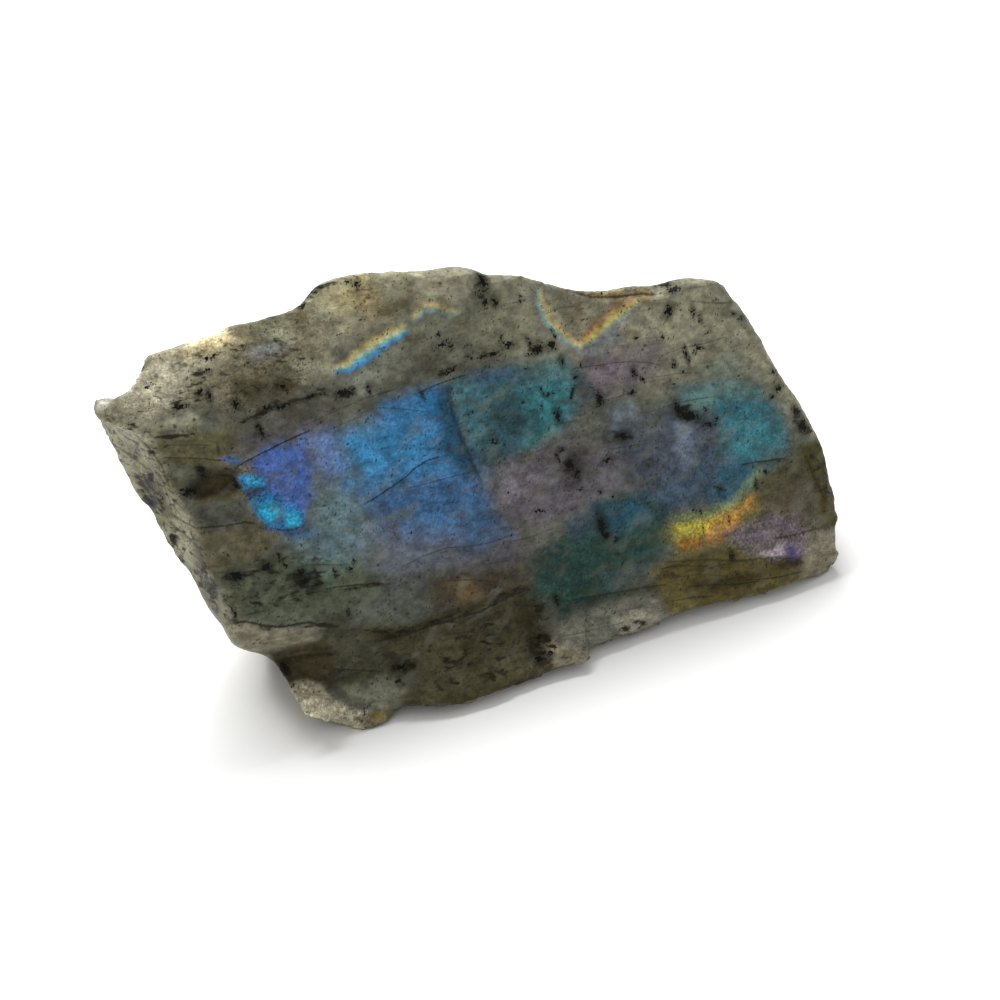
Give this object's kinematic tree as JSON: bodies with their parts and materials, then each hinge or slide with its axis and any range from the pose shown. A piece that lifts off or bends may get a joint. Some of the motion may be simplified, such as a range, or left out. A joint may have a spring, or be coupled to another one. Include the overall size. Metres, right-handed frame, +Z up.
{
  "type": "rough labradorite chunk",
  "caption": "Rough chunk of labradorite, a thick wedge of rock with one broad face that leans back and flashes blue, teal and gold, standing on its split base.",
  "frame": {"origin": "middle of the footprint of the whole chunk, on the plane of its split base", "axes": "+X along the chunk's length, with the broad face looking towards -Y and leaning back; +Z up from the base"},
  "size_m": [0.152, 0.0532, 0.0803],
  "materials": {
    "labradorite": "rough broken feldspar, with a rubbed broad face that flashes blue, teal, violet and gold"
  },
  "bodies": {
    "root": {"labradorite_chunk": "labradorite"}
  },
  "joints": []
}
